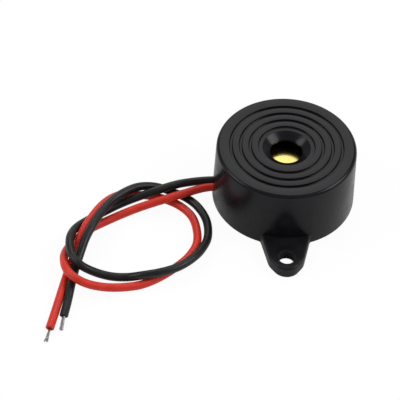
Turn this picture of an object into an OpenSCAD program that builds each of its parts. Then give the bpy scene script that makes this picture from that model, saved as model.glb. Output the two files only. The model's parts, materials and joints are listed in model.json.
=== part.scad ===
// Piezo buzzer: a round moulded case with two screw ears, a sound port over a piezo disc,
// a small driver board potted in from below, and two insulated leads.
// The case axis is Z, the base lies on z = 0, the ears point along Y, the leads leave at -X.

/* [Case] */
// Diameter of the case at its top rim
case_rim_d = 30; // [27:0.5:40]
// How much wider the case is at its base than at its rim, on the diameter
case_draft = 0.8; // [0.2:0.1:1.6]
// Height of the case
case_h = 14.5; // [13:0.1:16.5]
// Thickness of the wall beside the disc, measured from the rim
wall_t = 1.35; // [1:0.05:1.8]
// Radius of the rounded top edge
rim_round = 0.85; // [0.5:0.05:1.8]
// Thickness of the roof over the front chamber
roof_t = 2; // [1.6:0.1:3]
// Depth of the chamber between the roof and the disc's seat
chamber_h = 1.85; // [1:0.05:2.5]
// Width of the ledge that the disc is glued to
ledge_w = 1.4; // [0.8:0.1:2]

/* [Sound port] */
// Diameter of the port's straight bore
port_d = 6.9; // [4:0.1:8]
// Diameter of the funnel where it opens
funnel_d = 10.3; // [8.5:0.1:11.5]
// Height of the funnel
funnel_h = 1.1; // [0.5:0.05:1.1]
// Width of the sunken flat round the funnel
mouth_w = 0.95; // [0.4:0.05:1.2]
// Depth of the sunken flat below the face
mouth_depth = 0.45; // [0.2:0.05:0.5]

/* [Face rings] */
// Number of ring grooves in the face
ring_count = 3; // [1:1:3]
// Distance from one groove to the next
ring_pitch = 2.05; // [1.2:0.05:2.2]
// Width of a groove
ring_w = 0.7; // [0.3:0.05:0.8]
// Depth of a groove
ring_depth = 0.45; // [0.2:0.05:0.8]

/* [Ears] */
// Distance from the rim out to a screw hole
ear_hole_out = 5.85; // [5:0.05:8]
// Diameter of a screw hole
ear_hole_d = 3.5; // [2:0.1:4]
// Thickness of an ear
ear_t = 1.9; // [1.2:0.1:3]
// Radius of the rounded tip
ear_tip_r = 2.95; // [2.6:0.05:3.4]
// Distance from a screw hole out to the tip's edge
ear_tip_reach = 3.4; // [3:0.1:4]
// Half width of an ear beside its hole
ear_shoulder_r = 3.95; // [3.6:0.05:4.6]
// Distance from a screw hole in to the middle of its shoulders
ear_shoulder_in = 1.2; // [0.8:0.05:1.6]
// Half width of an ear where it leaves the case
ear_root_r = 5.1; // [4.7:0.1:6.5]
// Radius of the rounded upper edge
ear_edge_r = 0.7; // [0.3:0.1:0.9]

/* [Piezo disc] */
// Thickness of the brass plate
plate_t = 0.3; // [0.2:0.05:0.5]
// Diameter of the ceramic
ceramic_d = 20; // [18:0.5:22]
// Thickness of the ceramic
ceramic_t = 0.25; // [0.15:0.05:0.4]
// Thickness of the silver electrodes
silver_t = 0.05; // [0.03:0.01:0.1]
// Bare margin round the electrodes
silver_margin = 0.6; // [0.4:0.1:1]
// Thickness of the glue between the ledge and the plate
glue_t = 0.1; // [0.05:0.05:0.2]
// Gap all round the plate, which the glue fills
plate_gap = 0.15; // [0.1:0.05:0.3]
// Height and width of the glue bead round the plate's edge
glue_bead = 0.5; // [0.3:0.1:0.7]

/* [Board] */
// Thickness of the circuit board
board_t = 1; // [0.6:0.1:1.6]
// Height of the board's underside above the base
board_z = 4.2; // [3.8:0.1:5]
// Width of the step that the board is pushed against
board_step = 0.45; // [0.3:0.05:0.7]
// Gap all round the board
board_gap = 0.2; // [0.1:0.05:0.3]
// Diameter of a copper pad
pad_d = 1.6; // [1.3:0.1:1.7]
// Thickness of the copper
copper_t = 0.1; // [0.05:0.05:0.15]
// Height of a solder joint
solder_h = 0.6; // [0.4:0.1:0.8]
// Clearance of a wire in its hole in the board
hole_gap = 0.1; // [0.05:0.05:0.2]

/* [Board parts] */
// Diameter of the legs of the board's parts
leg_d = 0.5; // [0.4:0.05:0.6]
// How far each part lies above the board
part_lift = 0.1; // [0.05:0.05:0.3]
// Clearance between the tallest parts and the disc
disc_gap = 0.65; // [0.4:0.05:0.9]
// Diameter of a resistor's body
resistor_d = 1.8; // [1.4:0.1:2.4]
// Length of a resistor's body
resistor_len = 3.4; // [3:0.1:4]
// Distance between the resistors
resistor_gap = 3; // [2.6:0.1:3.2]
// Diameter of the diode's body
diode_d = 1.9; // [1.5:0.1:2.2]
// Length of the diode's body
diode_len = 3.8; // [3:0.1:4.2]
// Distance between the legs of the transistor and of the capacitor
leg_pitch = 1.9; // [1.8:0.1:2]
// Distance between the two legs of an axial part
axial_pitch = 6.4; // [6.2:0.1:7]
// Length of the capacitor's can
can_len = 5; // [4:0.1:5.5]
// How much lower the transistor lies than the tallest parts
transistor_drop = 0.4; // [0.2:0.1:0.8]
// Width of the transistor's body
transistor_w = 4.6; // [4.2:0.1:5]
// Length of the transistor's body
transistor_len = 4.6; // [4:0.1:5]
// Diameter of the choke's core
choke_d = 5; // [4:0.1:5.5]
// Diameter of the core's waist
choke_waist_d = 2.3; // [1.6:0.1:2.8]
// Depth of the winding below the edge of the core's flanges
choke_winding_in = 0.25; // [0.1:0.05:0.4]
// Distance between the choke's legs
choke_pitch = 2.4; // [2:0.1:3]
// Thickness of the core's two flanges
flange_t = 0.7; // [0.5:0.1:1]

/* [Potting] */
// Height of the potting's lower face above the base
potting_z = 0.6; // [0.3:0.1:1]
// Height of the meniscus that the potting leaves at the wall
meniscus_h = 0.3; // [0.1:0.05:0.3]

/* [Leads] */
// Diameter of a lead over its insulation
lead_d = 1.8; // [1.2:0.1:1.8]
// Distance between the two leads where they leave the case
lead_pitch = 2; // [1.9:0.1:2.4]
// Height of the leads' axes where they leave the case
lead_z = 2.5; // [2:0.1:2.8]
// Clearance round the leads in the wall
lead_gap = 0.05; // [0.03:0.01:0.15]
// Diameter of the tinned conductor
core_d = 0.84; // [0.5:0.02:0.9]
// Length of the bare tinned tip at the far end
tip_len = 3.4; // [2:0.1:6]
// Diameter of the thin wires up to the disc
jumper_d = 0.6; // [0.4:0.05:0.7]

/* [Hidden] */

$fn = 96;
small_fn = 32;
cut = 1; // how far a cutting shape runs past the face that it cuts

// Case
rim_r = case_rim_d / 2;
base_r = rim_r + case_draft / 2;
chamber_z = case_h - roof_t;
ledge_z = chamber_z - chamber_h;
seat_r = rim_r - wall_t;
chamber_r = seat_r - ledge_w;
step_z = board_z + board_t;
well_r = seat_r + board_step;
port_r = port_d / 2;
funnel_r = funnel_d / 2;
mouth_r = funnel_r + mouth_w;

// Disc, from its glued face downwards
plate_r = seat_r - plate_gap;
plate_z = ledge_z - glue_t - plate_t;
ceramic_z = plate_z - ceramic_t;
silver_z = ceramic_z - silver_t;
silver_r = ceramic_d / 2 - silver_margin;
tongue_w = 4;
tongue_len = 5;
tongue_gap = 0.5;

// Board
board_r = well_r - board_gap;
top_pad_z = step_z + copper_t;
part_z = step_z + part_lift;
joint_margin = 0.1;
joint_r = pad_d / 2 - joint_margin;
joint_top_r = core_d / 2 + 0.05;

// The tallest parts fill the space under the disc
tall_h = silver_z - part_z - disc_gap;
can_d = tall_h;
choke_h = tall_h;
transistor_t = tall_h - transistor_drop;

// Ears: circles along Y that the outline wraps round, as [y, radius]
ear_y = rim_r + ear_hole_out;
ear_root_in = 0.4;
ear_circles = [[rim_r - ear_root_in, ear_root_r], [ear_y - ear_shoulder_in, ear_shoulder_r],
    [ear_y + ear_tip_reach - ear_tip_r, ear_tip_r]];

// Leads
lead_sides = [lead_pitch / 2, -lead_pitch / 2];
lead_inner_x = -9;
core_x = -6;
core_bend = board_z - copper_t - solder_h - joint_margin - lead_z;

// Middles of the board parts, as shares of the board's radius
resistors_at = board_r * [0.26, -0.43];
diode_at = board_r * [0.3, 0.71];
can_at = board_r * [-0.42, 0.52];
transistor_at = board_r * [0.62, 0.26];
choke_at = board_r * [-0.4, -0.52];
resistor_ys = [for (i = [-1:1]) resistors_at[1] + i * resistor_gap];
leg_run = 1.3;

// Where legs go through the board
axial_legs = [for (y = resistor_ys, s = [-1, 1])
    [resistors_at[0] + s * axial_pitch / 2, y]];
diode_leg_at = [for (s = [-1, 1]) [diode_at[0] + s * axial_pitch / 2, diode_at[1]]];
can_leg_at = [for (s = [-1, 1])
    [can_at[0] + can_len / 2 + leg_run, can_at[1] + s * leg_pitch / 2]];
transistor_leg_at = [for (s = [-1:1])
    [transistor_at[0] + s * leg_pitch, transistor_at[1] - transistor_len / 2 - leg_run]];
choke_leg_at = [for (s = [-1, 1]) [choke_at[0] + s * choke_pitch / 2, choke_at[1]]];
core_at = [for (y = lead_sides) [core_x, y]];
leg_at = concat(axial_legs, diode_leg_at, can_leg_at, transistor_leg_at, choke_leg_at);

// Thin wires from pads on the board's upper face to the disc
jumper_at = board_r * [[-0.82, 0.22], [-0.66, -0.19], [0.03, 0.23]];
ground_r = (ceramic_d / 2 + plate_r - glue_bead) / 2;
feedback_x = silver_r - tongue_len + pad_d;
disc_at = [[-ground_r, 0], [-feedback_x, 0], [feedback_x, 0]];
disc_face_z = [plate_z, silver_z, silver_z];

// Routes of the two leads, from the board end to the cut end
black_route = [[lead_inner_x, lead_sides[0], lead_z], [-16, lead_sides[0], lead_z],
    [-21.2, -0.1, 2.8], [-24.6, -1.4, 3],
    [-28.1, -2.9, 2.8], [-31.7, -3.9, 2], [-35.3, -5.2, 1.2], [-38.7, -7.3, 0.9],
    [-42.1, -10, 1.1], [-44.6, -13.8, 2.6], [-45.6, -18, 3.9], [-45, -22.5, 4.3],
    [-43.2, -25.1, 4], [-40.3, -25.9, 2.7], [-36.9, -26.3, 1.8], [-33.4, -26.3, 1.6],
    [-29.9, -26.6, 2.7], [-26.4, -26, 3], [-23, -24.5, 2.9], [-20.1, -22, 2.6],
    [-17.9, -18.6, 1.9], [-16.5, -14.3, 1.1], [-16.7, -9.5, 0.9], [-18.5, -5.5, 0.9],
    [-21, -2.9, 0.9], [-24, -1.2, 0.9], [-27.3, -0.3, 1.5], [-30.8, -1.2, 2.6],
    [-33.8, -3.3, 3.4], [-36.9, -6.5, 3.8], [-39.3, -10.7, 4.2], [-41, -14.6, 4.3],
    [-42.3, -17.7, 3.8], [-43.3, -20.9, 2.8], [-44.2, -24.5, 2.1], [-44.9, -28.5, 1.7],
    [-45.5, -32.5, 1.1], [-46.2, -36.6, 0.9]];
red_route = [[lead_inner_x, lead_sides[1], lead_z], [-16, lead_sides[1], lead_z],
    [-21.6, -3.3, 2.8], [-25, -4.8, 2.8],
    [-28.5, -5.8, 2.2], [-31.9, -6.9, 1.6], [-35.3, -8.4, 1.1], [-38.6, -10.3, 0.9],
    [-41.6, -12.4, 0.9], [-44, -15, 0.9], [-46, -17.9, 1], [-46.7, -21.7, 2.2],
    [-45.9, -26.2, 3.6], [-43.7, -28.8, 3.7], [-41, -29.5, 2.8], [-37.7, -29.4, 1.9],
    [-34.2, -28.9, 1.4], [-30.5, -27.8, 1], [-26.8, -25.7, 0.9], [-23.4, -22.9, 0.9],
    [-20.6, -19.8, 0.9], [-18.9, -16.2, 0.9], [-18.8, -12.3, 0.9], [-19.8, -8.4, 0.9],
    [-22.1, -5.5, 0.9], [-24.9, -3.7, 0.9], [-28.2, -2.5, 0.9], [-31.5, -2.2, 0.9],
    [-34.6, -2.6, 1.5], [-37.1, -4.5, 2.3], [-39.2, -7.2, 2.8], [-40.9, -10.4, 3.2],
    [-42.4, -13.6, 3.2], [-43.6, -16.8, 2.6], [-44.5, -20, 1.4], [-45.6, -23.8, 0.9],
    [-46.5, -28, 0.9], [-47.3, -32, 0.9], [-48.1, -36, 0.9], [-48.9, -39.8, 0.9]];
lead_sides_n = 8;

// ---------- Swept tubes ----------

function unit(v) = v / norm(v);
function heading(p, i) = unit(p[min(i + 1, len(p) - 1)] - p[max(i - 1, 0)]);
function ring(p, i, r, up) =
    let (t = heading(p, i), side = unit(cross(t, up)), rise = cross(side, t))
    [for (k = [0:lead_sides_n - 1]) let (a = 360 * (k + 0.5) / lead_sides_n)
        p[i] + r * (cos(a) * side + sin(a) * rise)];

// A tube of diameter d along the points p, closed at both ends
module tube(p, d, up = [0, 0, 1]) {
    n = lead_sides_n;
    last = len(p) - 1;
    points = [for (i = [0:last]) each ring(p, i, d / 2, up)];
    sides = [for (i = [0:last - 1], k = [0:n - 1])
        let (a = i * n + k, b = i * n + (k + 1) % n)
        each [[a, b, b + n], [a, b + n, a + n]]];
    ends = [[for (k = [n - 1:-1:0]) k], [for (k = [0:n - 1]) last * n + k]];
    polyhedron(points = points, faces = concat(sides, ends), convexity = 10);
}

// Straight on from the last point of a route, by the length of the bare tip
function tip_route(p) = let (e = p[len(p) - 1]) [e, e + tip_len * unit(e - p[len(p) - 2])];

// ---------- Case ----------

// Outline of the case in section, with its draft and its rounded rim
module case_section() {
    shoulder_z = case_h - rim_round;
    polygon([[0, 0], [base_r, 0], [rim_r, shoulder_z], [rim_r - rim_round, case_h],
        [0, case_h]]);
    translate([rim_r - rim_round, shoulder_z]) intersection() {
        circle(r = rim_round);
        square(rim_round);
    }
}

module case_solid() {
    rotate_extrude() case_section();
}

// Everything that is hollow inside, stepped for the board, the disc and the front chamber
module case_hollow() {
    translate([0, 0, -cut]) cylinder(r = well_r, h = step_z + cut);
    cylinder(r = seat_r, h = ledge_z);
    cylinder(r = chamber_r, h = chamber_z);
}

// The bore, the funnel over it and the sunken flat that the funnel opens on
module sound_port() {
    mouth_z = case_h - mouth_depth;
    cylinder(r = port_r, h = case_h + cut);
    translate([0, 0, mouth_z - funnel_h]) cylinder(r1 = port_r, r2 = funnel_r, h = funnel_h);
    translate([0, 0, mouth_z]) cylinder(r = mouth_r, h = mouth_depth + cut);
}

module ring_grooves() {
    for (i = [1:ring_count]) {
        r = mouth_r + i * ring_pitch - ring_w;
        translate([0, 0, case_h - ring_depth]) difference() {
            cylinder(r = r + ring_w, h = ring_depth + cut);
            translate([0, 0, -cut]) cylinder(r = r, h = ring_depth + 3 * cut);
        }
    }
}

// The opening that both leads share in the wall, as wide as the pair and round at its ends
module lead_opening() {
    r = lead_d / 2 + lead_gap;
    translate([-base_r - cut, 0, lead_z]) rotate([90, 0, 90])
        linear_extrude(base_r + cut - chamber_r) {
            for (y = lead_sides) translate([y, 0]) circle(r = r);
            translate([-lead_pitch / 2, -r]) square([lead_pitch, 2 * r]);
        }
}

// Section of an ear at radius r of one of its outline's circles, with the rounded upper edge
module ear_section(r) {
    square([r, ear_t - ear_edge_r]);
    square([r - ear_edge_r, ear_t]);
    translate([r - ear_edge_r, ear_t - ear_edge_r]) circle(r = ear_edge_r, $fn = small_fn);
}

module ear() {
    hull() for (c = ear_circles) translate([0, c[0], 0])
        rotate_extrude($fn = 48) ear_section(c[1]);
}

module ear_hole() {
    translate([0, ear_y, -cut]) cylinder(d = ear_hole_d, h = ear_t + 2 * cut, $fn = 48);
}

module housing() {
    color([0.13, 0.13, 0.14]) difference() {
        union() {
            case_solid();
            for (m = [0, 1]) mirror([0, m, 0]) ear();
        }
        case_hollow();
        sound_port();
        ring_grooves();
        lead_opening();
        for (m = [0, 1]) mirror([0, m, 0]) ear_hole();
    }
}

// ---------- Piezo disc ----------

module brass_plate() {
    color([0.86, 0.72, 0.3]) translate([0, 0, plate_z]) cylinder(r = plate_r, h = plate_t);
}

module ceramic_disc() {
    color([0.85, 0.82, 0.75]) translate([0, 0, ceramic_z]) cylinder(d = ceramic_d, h = ceramic_t);
}

// The tongue of silver that senses the disc's motion, grown by g
module tongue(g) {
    x = silver_r - tongue_len;
    translate([x + tongue_w / 2 - g, 0]) {
        circle(d = tongue_w + 2 * g);
        translate([0, -tongue_w / 2 - g]) square([tongue_len, tongue_w + 2 * g]);
    }
}

module drive_electrode() {
    color([0.8, 0.8, 0.8]) translate([0, 0, silver_z]) linear_extrude(silver_t) difference() {
        circle(r = silver_r);
        tongue(tongue_gap);
    }
}

module feedback_electrode() {
    color([0.8, 0.8, 0.8]) translate([0, 0, silver_z]) linear_extrude(silver_t) intersection() {
        circle(r = silver_r);
        tongue(0);
    }
}

// A bead of glue on the ledge, round the plate's edge and a little way under it
module disc_glue() {
    inner_r = seat_r - ledge_w / 2;
    color([0.9, 0.9, 0.88]) rotate_extrude() polygon([[inner_r, ledge_z - glue_t],
        [inner_r, ledge_z], [seat_r, ledge_z], [seat_r, plate_z - glue_bead],
        [plate_r - glue_bead, plate_z], [plate_r, plate_z], [plate_r, ledge_z - glue_t]]);
}

// ---------- Solder ----------

// A solder cone that hangs from a face at z, or stands on it, with a bore for its wire
module joint(at, z, way, bore_d) {
    translate([at[0], at[1], z]) mirror([0, 0, way > 0 ? 0 : 1]) difference() {
        cylinder(r1 = joint_r, r2 = joint_top_r, h = solder_h, $fn = small_fn);
        if (bore_d > 0) translate([0, 0, -cut])
            cylinder(d = bore_d, h = solder_h + 2 * cut, $fn = small_fn);
    }
}

module disc_solder() {
    color([0.75, 0.75, 0.77]) for (i = [0:2]) joint(disc_at[i], disc_face_z[i], -1, 0);
}

module board_solder() {
    color([0.75, 0.75, 0.77]) {
        for (p = leg_at) joint(p, board_z - copper_t, -1, leg_d);
        for (p = core_at) joint(p, board_z - copper_t, -1, core_d);
        for (p = jumper_at) joint(p, top_pad_z, 1, 0);
    }
}

// ---------- Board ----------

module circuit_board() {
    color([0.72, 0.55, 0.3]) translate([0, 0, board_z]) difference() {
        cylinder(r = board_r, h = board_t);
        for (p = leg_at) board_hole(p, leg_d);
        for (p = core_at) board_hole(p, core_d);
    }
}

module board_hole(at, wire_d) {
    translate([at[0], at[1], -cut])
        cylinder(d = wire_d + 2 * hole_gap, h = board_t + 2 * cut, $fn = small_fn);
}

module pad(at, z, wire_d) {
    translate([at[0], at[1], z]) difference() {
        cylinder(d = pad_d, h = copper_t, $fn = small_fn);
        if (wire_d > 0) translate([0, 0, -cut])
            cylinder(d = wire_d + 2 * hole_gap, h = copper_t + 2 * cut, $fn = small_fn);
    }
}

module board_pads() {
    color([0.8, 0.45, 0.25]) {
        for (p = leg_at) pad(p, board_z - copper_t, leg_d);
        for (p = core_at) pad(p, board_z - copper_t, core_d);
        for (p = jumper_at) pad(p, step_z, 0);
    }
}

// ---------- Board parts ----------

// A leg that leaves a part along +X at height z, runs on and bends down through the board
module bent_leg(run, z) {
    bend = leg_d;
    foot_z = board_z - copper_t - solder_h;
    translate([0, 0, z]) rotate([0, 90, 0]) cylinder(d = leg_d, h = run - bend, $fn = small_fn);
    translate([run - bend, 0, z - bend]) rotate([90, 0, 0])
        rotate_extrude(angle = 90) translate([bend, 0]) circle(d = leg_d, $fn = small_fn);
    translate([run, 0, foot_z]) cylinder(d = leg_d, h = z - bend - foot_z, $fn = small_fn);
}

module axial_body(d, l) {
    translate([-l / 2, 0, part_z + d / 2]) rotate([0, 90, 0]) cylinder(d = d, h = l, $fn = 48);
}

module axial_legs_of(d, l) {
    for (a = [0, 180]) rotate([0, 0, a]) translate([l / 2, 0, 0])
        bent_leg((axial_pitch - l) / 2, part_z + d / 2);
}

module resistors() {
    color([0.35, 0.6, 0.75]) for (y = resistor_ys) translate([resistors_at[0], y, 0])
        axial_body(resistor_d, resistor_len);
}

module resistor_legs() {
    color([0.8, 0.8, 0.82]) for (y = resistor_ys) translate([resistors_at[0], y, 0])
        axial_legs_of(resistor_d, resistor_len);
}

module diode() {
    color([0.75, 0.35, 0.15]) translate([diode_at[0], diode_at[1], 0])
        axial_body(diode_d, diode_len);
}

module diode_legs() {
    color([0.8, 0.8, 0.82]) translate([diode_at[0], diode_at[1], 0])
        axial_legs_of(diode_d, diode_len);
}

module capacitor() {
    color([0.1, 0.15, 0.35]) translate([can_at[0], can_at[1], 0]) axial_body(can_d, can_len);
}

module capacitor_legs() {
    color([0.8, 0.8, 0.82]) for (s = [-1, 1])
        translate([can_at[0] + can_len / 2, can_at[1] + s * leg_pitch / 2, 0])
            bent_leg(leg_run, part_z + can_d / 2);
}

// A half-round body that lies on its flat
module transistor() {
    color([0.12, 0.12, 0.12]) translate([transistor_at[0], transistor_at[1], part_z])
        rotate([90, 0, 0]) translate([0, 0, -transistor_len / 2])
            linear_extrude(transistor_len) intersection() {
                translate([0, transistor_t - transistor_w / 2]) circle(d = transistor_w);
                translate([-transistor_w / 2, 0]) square([transistor_w, transistor_t]);
            }
}

module transistor_legs() {
    color([0.8, 0.8, 0.82]) for (s = [-1:1])
        translate([transistor_at[0] + s * leg_pitch,
            transistor_at[1] - transistor_len / 2, 0])
            rotate([0, 0, -90]) bent_leg(leg_run, part_z + transistor_t / 3);
}

module choke_core() {
    color([0.25, 0.25, 0.27]) translate([choke_at[0], choke_at[1], part_z]) {
        cylinder(d = choke_waist_d, h = choke_h);
        cylinder(d = choke_d, h = flange_t);
        translate([0, 0, choke_h - flange_t]) cylinder(d = choke_d, h = flange_t);
    }
}

module choke_winding() {
    color([0.75, 0.35, 0.15]) translate([choke_at[0], choke_at[1], part_z + flange_t])
        difference() {
            cylinder(d = choke_d - 2 * choke_winding_in, h = choke_h - 2 * flange_t);
            translate([0, 0, -cut]) cylinder(d = choke_waist_d, h = choke_h + 2 * cut);
        }
}

module choke_legs() {
    foot_z = board_z - copper_t - solder_h;
    color([0.8, 0.8, 0.82]) for (p = choke_leg_at) translate([p[0], p[1], foot_z])
        cylinder(d = leg_d, h = part_z - foot_z, $fn = small_fn);
}

// A thin wire that stands up from a joint on the board and reaches the joint on the disc
module jumper(i) {
    a = jumper_at[i];
    b = disc_at[i];
    low = top_pad_z + solder_h;
    high = disc_face_z[i] - solder_h;
    rise = high - low;
    tube([[a[0], a[1], low], [a[0], a[1], low + rise * 0.2],
        [(3 * a[0] + b[0]) / 4, (3 * a[1] + b[1]) / 4, low + rise * 0.4],
        [(a[0] + 3 * b[0]) / 4, (a[1] + 3 * b[1]) / 4, low + rise * 0.6],
        [b[0], b[1], low + rise * 0.8], [b[0], b[1], high]], jumper_d, [1, 0, 0]);
}

module ground_jumper() {
    color([0.1, 0.1, 0.1]) jumper(0);
}

module drive_jumper() {
    color([0.8, 0.15, 0.1]) jumper(1);
}

module feedback_jumper() {
    color([0.15, 0.25, 0.7]) jumper(2);
}

// ---------- Leads ----------

module red_lead() {
    color([0.85, 0.15, 0.12]) tube(red_route, lead_d);
}

module black_lead() {
    color([0.12, 0.12, 0.13]) tube(black_route, lead_d);
}

// The bare inner end of a lead, which bends up into its joint in the board
module inner_core(y) {
    translate([lead_inner_x, y, lead_z]) rotate([0, 90, 0])
        cylinder(d = core_d, h = core_x - core_bend - lead_inner_x, $fn = small_fn);
    translate([core_x - core_bend, y, lead_z + core_bend]) rotate([-90, 0, 0])
        rotate_extrude(angle = 90) translate([core_bend, 0]) circle(d = core_d, $fn = small_fn);
    translate([core_x, y, lead_z + core_bend])
        cylinder(d = core_d, h = step_z - lead_z - core_bend, $fn = small_fn);
}

module black_core() {
    color([0.75, 0.75, 0.77]) inner_core(lead_sides[0]);
}

module red_core() {
    color([0.75, 0.75, 0.77]) inner_core(lead_sides[1]);
}

module red_tip() {
    color([0.75, 0.75, 0.77]) tube(tip_route(red_route), core_d);
}

module black_tip() {
    color([0.75, 0.75, 0.77]) tube(tip_route(black_route), core_d);
}

// ---------- Potting ----------

// Everything that the resin flowed round: leads, cores, pads and joints under the board
module potted_things() {
    for (y = lead_sides) {
        translate([-base_r - cut, y, lead_z]) rotate([0, 90, 0])
            cylinder(d = lead_d, h = base_r + cut + lead_inner_x, $fn = small_fn);
        inner_core(y);
    }
    for (p = concat(leg_at, core_at)) translate([p[0], p[1], board_z - copper_t]) {
        cylinder(d = pad_d, h = copper_t + cut, $fn = small_fn);
        mirror([0, 0, 1])
            cylinder(r1 = joint_r, r2 = joint_top_r, h = solder_h, $fn = small_fn);
    }
}

module potting() {
    color([0.08, 0.08, 0.08]) difference() {
        rotate_extrude() polygon([[0, potting_z], [well_r - 4 * meniscus_h, potting_z],
            [well_r - meniscus_h, potting_z - meniscus_h / 3], [well_r, potting_z - meniscus_h],
            [well_r, board_z], [0, board_z]]);
        potted_things();
    }
}

housing();
potting();
brass_plate();
ceramic_disc();
drive_electrode();
feedback_electrode();
disc_glue();
disc_solder();
circuit_board();
board_pads();
board_solder();
transistor();
transistor_legs();
resistors();
resistor_legs();
diode();
diode_legs();
capacitor();
capacitor_legs();
choke_core();
choke_winding();
choke_legs();
ground_jumper();
drive_jumper();
feedback_jumper();
red_lead();
black_lead();
red_core();
black_core();
red_tip();
black_tip();
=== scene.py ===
"""Looks of a piezo buzzer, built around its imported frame.

The case is turned and gets its two screw ears, the leads are drawn along their routes, and every
other piece of the frame gets a procedural finish. All sizes are in metres.
"""

import json
import logging
import math
import random
from dataclasses import dataclass, field, replace
from enum import Enum
from typing import Sequence
import bpy  # noqa: E402
from mathutils import Matrix, Vector  # noqa: E402

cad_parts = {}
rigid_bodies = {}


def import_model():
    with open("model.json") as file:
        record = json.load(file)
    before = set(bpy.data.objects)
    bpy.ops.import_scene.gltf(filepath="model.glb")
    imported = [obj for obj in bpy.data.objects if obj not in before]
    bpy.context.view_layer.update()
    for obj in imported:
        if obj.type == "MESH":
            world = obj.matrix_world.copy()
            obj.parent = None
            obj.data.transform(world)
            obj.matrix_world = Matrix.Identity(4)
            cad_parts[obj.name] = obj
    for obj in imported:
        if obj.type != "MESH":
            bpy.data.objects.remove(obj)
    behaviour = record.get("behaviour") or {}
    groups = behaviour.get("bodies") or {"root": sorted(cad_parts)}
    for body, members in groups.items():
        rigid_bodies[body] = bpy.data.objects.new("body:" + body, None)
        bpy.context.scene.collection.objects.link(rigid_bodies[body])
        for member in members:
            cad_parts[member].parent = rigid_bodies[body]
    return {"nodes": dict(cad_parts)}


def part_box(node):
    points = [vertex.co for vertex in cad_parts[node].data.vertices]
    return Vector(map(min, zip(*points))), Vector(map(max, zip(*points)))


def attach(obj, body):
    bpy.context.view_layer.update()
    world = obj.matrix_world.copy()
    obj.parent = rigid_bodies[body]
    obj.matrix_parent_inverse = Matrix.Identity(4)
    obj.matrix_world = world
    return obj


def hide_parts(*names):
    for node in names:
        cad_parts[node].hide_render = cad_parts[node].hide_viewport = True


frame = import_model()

LOG = logging.getLogger("buzzer")
MM = 0.001
ROOT = "root"
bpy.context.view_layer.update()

WELD_GAP = 0.002 * MM
FINE_WELD_GAP = 0.0005 * MM

Pair = tuple[float, float]
Point = tuple[float, float, float]


def heading(azimuth: float, elevation: float) -> Vector:
    """Works out a direction.

    Args:
        azimuth: Degrees from +Y towards +X.
        elevation: Degrees above the floor.

    Returns:
        A vector of length one.
    """
    turn, rise = math.radians(azimuth), math.radians(elevation)
    return Vector(
        (math.sin(turn) * math.cos(rise), math.cos(turn) * math.cos(rise), math.sin(rise))
    )


def facing(way: Vector) -> Matrix:
    """Turns a camera or a lamp to face a direction.

    Args:
        way: The direction.

    Returns:
        The rotation, as a 4 by 4 matrix.
    """
    return way.to_track_quat("-Z", "Y").to_matrix().to_4x4()


# ---------------------------------------------------------------- modelling


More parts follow.
